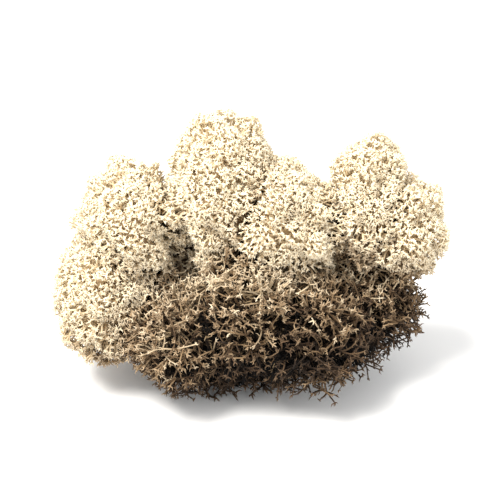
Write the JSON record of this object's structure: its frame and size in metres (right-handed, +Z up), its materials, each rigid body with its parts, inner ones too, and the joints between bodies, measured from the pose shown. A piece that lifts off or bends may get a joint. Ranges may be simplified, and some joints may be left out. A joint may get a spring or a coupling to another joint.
{
  "type": "reindeer moss clump",
  "caption": "Clump of dried reindeer moss: rounded crowns of fine star-tipped branchlets over looser grey-brown tufts and a mat of dead stems with a small flat rest spot.",
  "frame": {"origin": "on the flat underside of the stem mat, near its middle, on the surface that the clump rests on", "axes": "+Z up, +X along the clump's length, +Y towards its back"},
  "size_m": [0.1128, 0.0754, 0.0819],
  "materials": {
    "cream_crown": "matte, felty, cream",
    "grey_brown_tuft": "matte, felty, grey-brown",
    "dead_stem": "matte, dark brown"
  },
  "bodies": {
    "root": {"crown_left": "cream_crown", "crown_middle": "cream_crown", "crown_shoulder": "cream_crown", "crown_right": "cream_crown", "crown_low_right": "cream_crown", "crown_low_left": "cream_crown", "crown_back_left": "cream_crown", "crown_back_right": "cream_crown", "tuft_front_left": "grey_brown_tuft", "tuft_front_middle": "grey_brown_tuft", "tuft_front_right": "grey_brown_tuft", "tuft_right": "grey_brown_tuft", "stem_mat": "dead_stem"}
  },
  "joints": []
}
